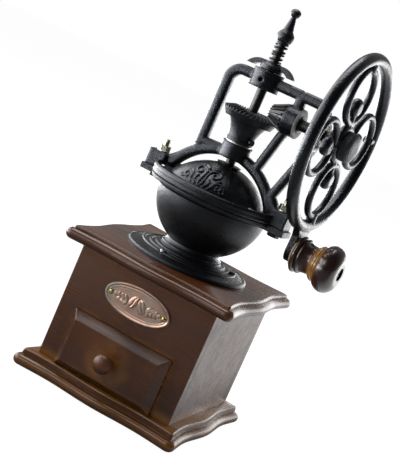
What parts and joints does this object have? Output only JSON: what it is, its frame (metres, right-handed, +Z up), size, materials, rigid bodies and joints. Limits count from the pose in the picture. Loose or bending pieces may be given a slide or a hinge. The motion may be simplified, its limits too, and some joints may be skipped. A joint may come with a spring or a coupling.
{
  "type": "coffee mill",
  "caption": "Antique-style hand coffee mill: moulded wooden box with drawer, iron bowl and dome, open frame with bevel gears and a crank wheel.",
  "frame": {"origin": "on the underside of the plinth, below the spindle's axis", "axes": "+Z up along the spindle, +X towards the crank wheel, -Y towards the drawer's front"},
  "size_m": [0.159, 0.1321, 0.2741],
  "materials": {
    "stained_wood": "dark walnut stain under satin varnish, worn golden at the edges",
    "pale_wood": "plain unstained wood",
    "black_casting": "satin black paint on a fine cast surface",
    "wheel_iron": "semi-gloss black with a speckled cast grain",
    "dark_steel": "blackened steel",
    "burr_iron": "bare cast iron",
    "zinc_steel": "zinc-plated steel",
    "yellow_zinc": "aged zinc plate, slightly yellow",
    "bronze": "bronze",
    "copper_plate": "embossed copper with grey-green patina",
    "brass": "polished brass",
    "handle_wood": "turned wood, dark glossy stain with an amber waist",
    "fibre_washer": "pale fibre"
  },
  "bodies": {
    "stand": {"plinth_board": "stained_wood", "front_panel": "stained_wood", "back_panel": "stained_wood", "left_panel": "stained_wood", "right_panel": "stained_wood", "top_board": "stained_wood", "drawer_guides": "pale_wood", "box_screws": "zinc_steel", "oval_plate": "copper_plate", "plate_pins": "brass", "base_disc": "black_casting", "disc_screws": "dark_steel", "bowl": "black_casting", "bowl_screws": "zinc_steel", "outer_burr": "burr_iron", "burr_screws": "zinc_steel", "frame_casting": "black_casting", "hub_bushes": "bronze", "shaft_bushes": "bronze", "ear_bolts": "yellow_zinc", "ear_nuts": "yellow_zinc", "dome_cover": "black_casting", "dome_screws": "dark_steel", "thrust_washer": "zinc_steel"},
    "crank": {"drive_shaft": "dark_steel", "pinion": "dark_steel", "pinion_pin": "dark_steel", "shaft_washers": "dark_steel", "crank_wheel": "wheel_iron", "hub_nut": "wheel_iron", "handle_pin": "dark_steel", "grip_washer": "fibre_washer"},
    "handle": {"grip": "handle_wood"},
    "gear": {"bevel_gear": "black_casting", "gear_screw": "dark_steel", "tension_spring": "dark_steel"},
    "spindle": {"spindle": "dark_steel", "spindle_key": "dark_steel", "inner_burr": "burr_iron", "burr_nut": "zinc_steel", "finial": "black_casting"},
    "adjuster": {"wing_nut": "black_casting"},
    "drawer": {"drawer_front": "stained_wood", "drawer_sides": "pale_wood", "drawer_back": "pale_wood", "drawer_bottom": "pale_wood", "drawer_knob": "stained_wood", "knob_screw": "zinc_steel"},
    "door": {"bean_door": "black_casting"}
  },
  "joints": [
    {"name": "crank_spin", "type": "hinge", "parent": "stand", "child": "crank", "pos_m": [0, 0, 0.2094], "axis": [0.9984, -0.0558, 0], "continuous": true},
    {"name": "handle_spin", "type": "hinge", "parent": "crank", "child": "handle", "pos_m": [0.0659, -0.00368, 0.1364], "axis": [0.9984, -0.0558, 0], "continuous": true},
    {"name": "gear_spin", "type": "hinge", "parent": "stand", "child": "gear", "pos_m": [0, 0, 0.2], "axis": [0, 0, 1], "continuous": true},
    {"name": "spindle_lift", "type": "slide", "parent": "gear", "child": "spindle", "axis": [0, 0, 1], "range_m": [-0.0016, 0], "deforming": ["tension_spring"]},
    {"name": "adjuster_turn", "type": "hinge", "parent": "gear", "child": "adjuster", "pos_m": [0, 0, 0.234], "axis": [0, 0, 1], "range_deg": [0, 450]},
    {"name": "drawer_slide", "type": "slide", "parent": "stand", "child": "drawer", "axis": [0, -1, 0], "range_m": [0, 0.07]},
    {"name": "door_turn", "type": "hinge", "parent": "stand", "child": "door", "pos_m": [0, 0, 0.127], "axis": [0, 0, 1], "range_deg": [0, 72]}
  ],
  "couplings": [
    {"joint": "gear_spin", "follows": "crank_spin", "ratio": 0.4},
    {"joint": "spindle_lift", "follows": "adjuster_turn", "m_per_rad": -0.00019894}
  ]
}
